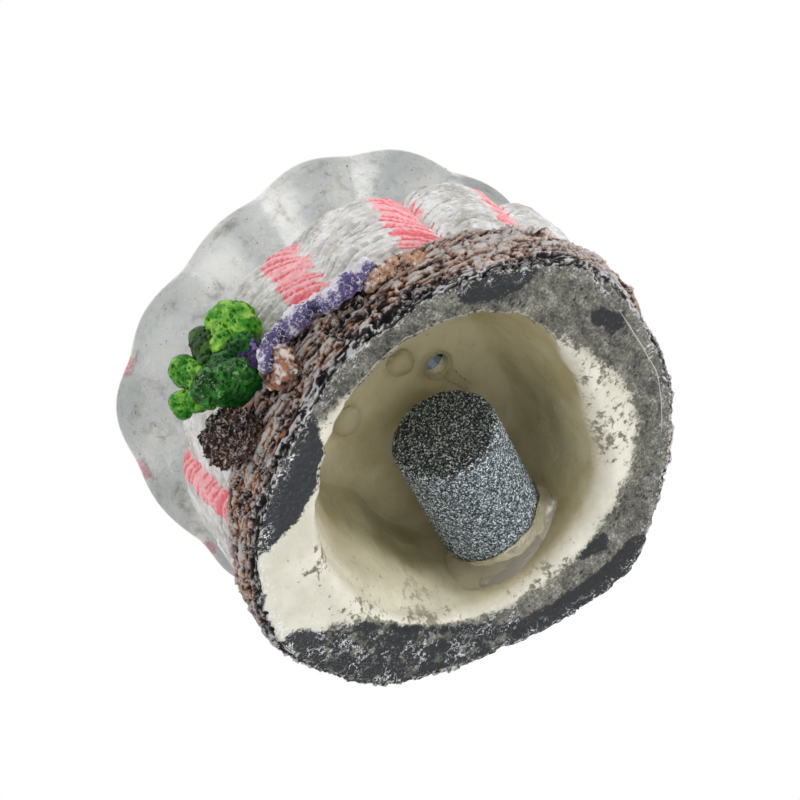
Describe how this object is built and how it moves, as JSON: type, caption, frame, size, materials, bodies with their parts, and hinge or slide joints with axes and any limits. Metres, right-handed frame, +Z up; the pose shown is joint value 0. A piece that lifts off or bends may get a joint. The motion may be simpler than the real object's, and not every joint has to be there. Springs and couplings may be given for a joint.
{
  "type": "bubbling aquarium ornament",
  "caption": "Open ribbed clam shell on a rough rock plinth with coral trim; a cylindrical air stone is glued in the hollow underside and its bubbles leave through the open shell.",
  "frame": {"origin": "centre of the ornament's box, on the surface it stands on", "axes": "+Z up from the flat underside; the clam opens towards -Y and its hinge and the air inlet are at +Y; +X is the right-hand side seen from the open side"},
  "size_m": [0.0964, 0.1098, 0.0824],
  "materials": {
    "inlet_plastic": "smooth black",
    "mineral": "rough sintered grit, salt and pepper dark grey",
    "clear_plastic": "smooth translucent",
    "dark_growth": "rough, black and reddish brown paint",
    "mantle": "satin blue paint with a darker edge",
    "clear_glue": "clear hot-melt glue",
    "green_coral": "glossy green paint",
    "lime_coral": "glossy lime paint, pitted",
    "ligament": "satin brown paint",
    "shell": "satin off-white paint with pink streaks in the valleys",
    "purple_sponge": "matt violet paint, dry-brushed white",
    "orange_rock": "rough orange-brown paint",
    "plinth_rock": "rough brown, black and pink washes, cream resin inside and below",
    "beige_shell": "matt beige paint"
  },
  "bodies": {
    "root": {"air_inlet": "inlet_plastic", "air_stone": "mineral", "air_stone_nipple": "clear_plastic", "barnacle_cluster": "dark_growth", "clam_mantle": "mantle", "glue_bead_at_hole": "clear_glue", "glue_bed": "clear_glue", "glue_drop_front": "clear_glue", "glue_drop_left": "clear_glue", "green_coral_base": "green_coral", "green_coral_branch_dark": "green_coral", "green_coral_branch_front": "lime_coral", "green_coral_branch_left": "green_coral", "green_coral_branch_low": "lime_coral", "green_coral_branch_tall": "lime_coral", "hinge_ligament": "ligament", "lower_valve": "shell", "purple_sponge": "purple_sponge", "purple_sponge_tip": "purple_sponge", "rock_boulder_front": "orange_rock", "rock_boulder_right": "orange_rock", "rock_plinth": "plinth_rock", "shell_fragment": "beige_shell", "upper_valve": "shell"}
  },
  "joints": []
}
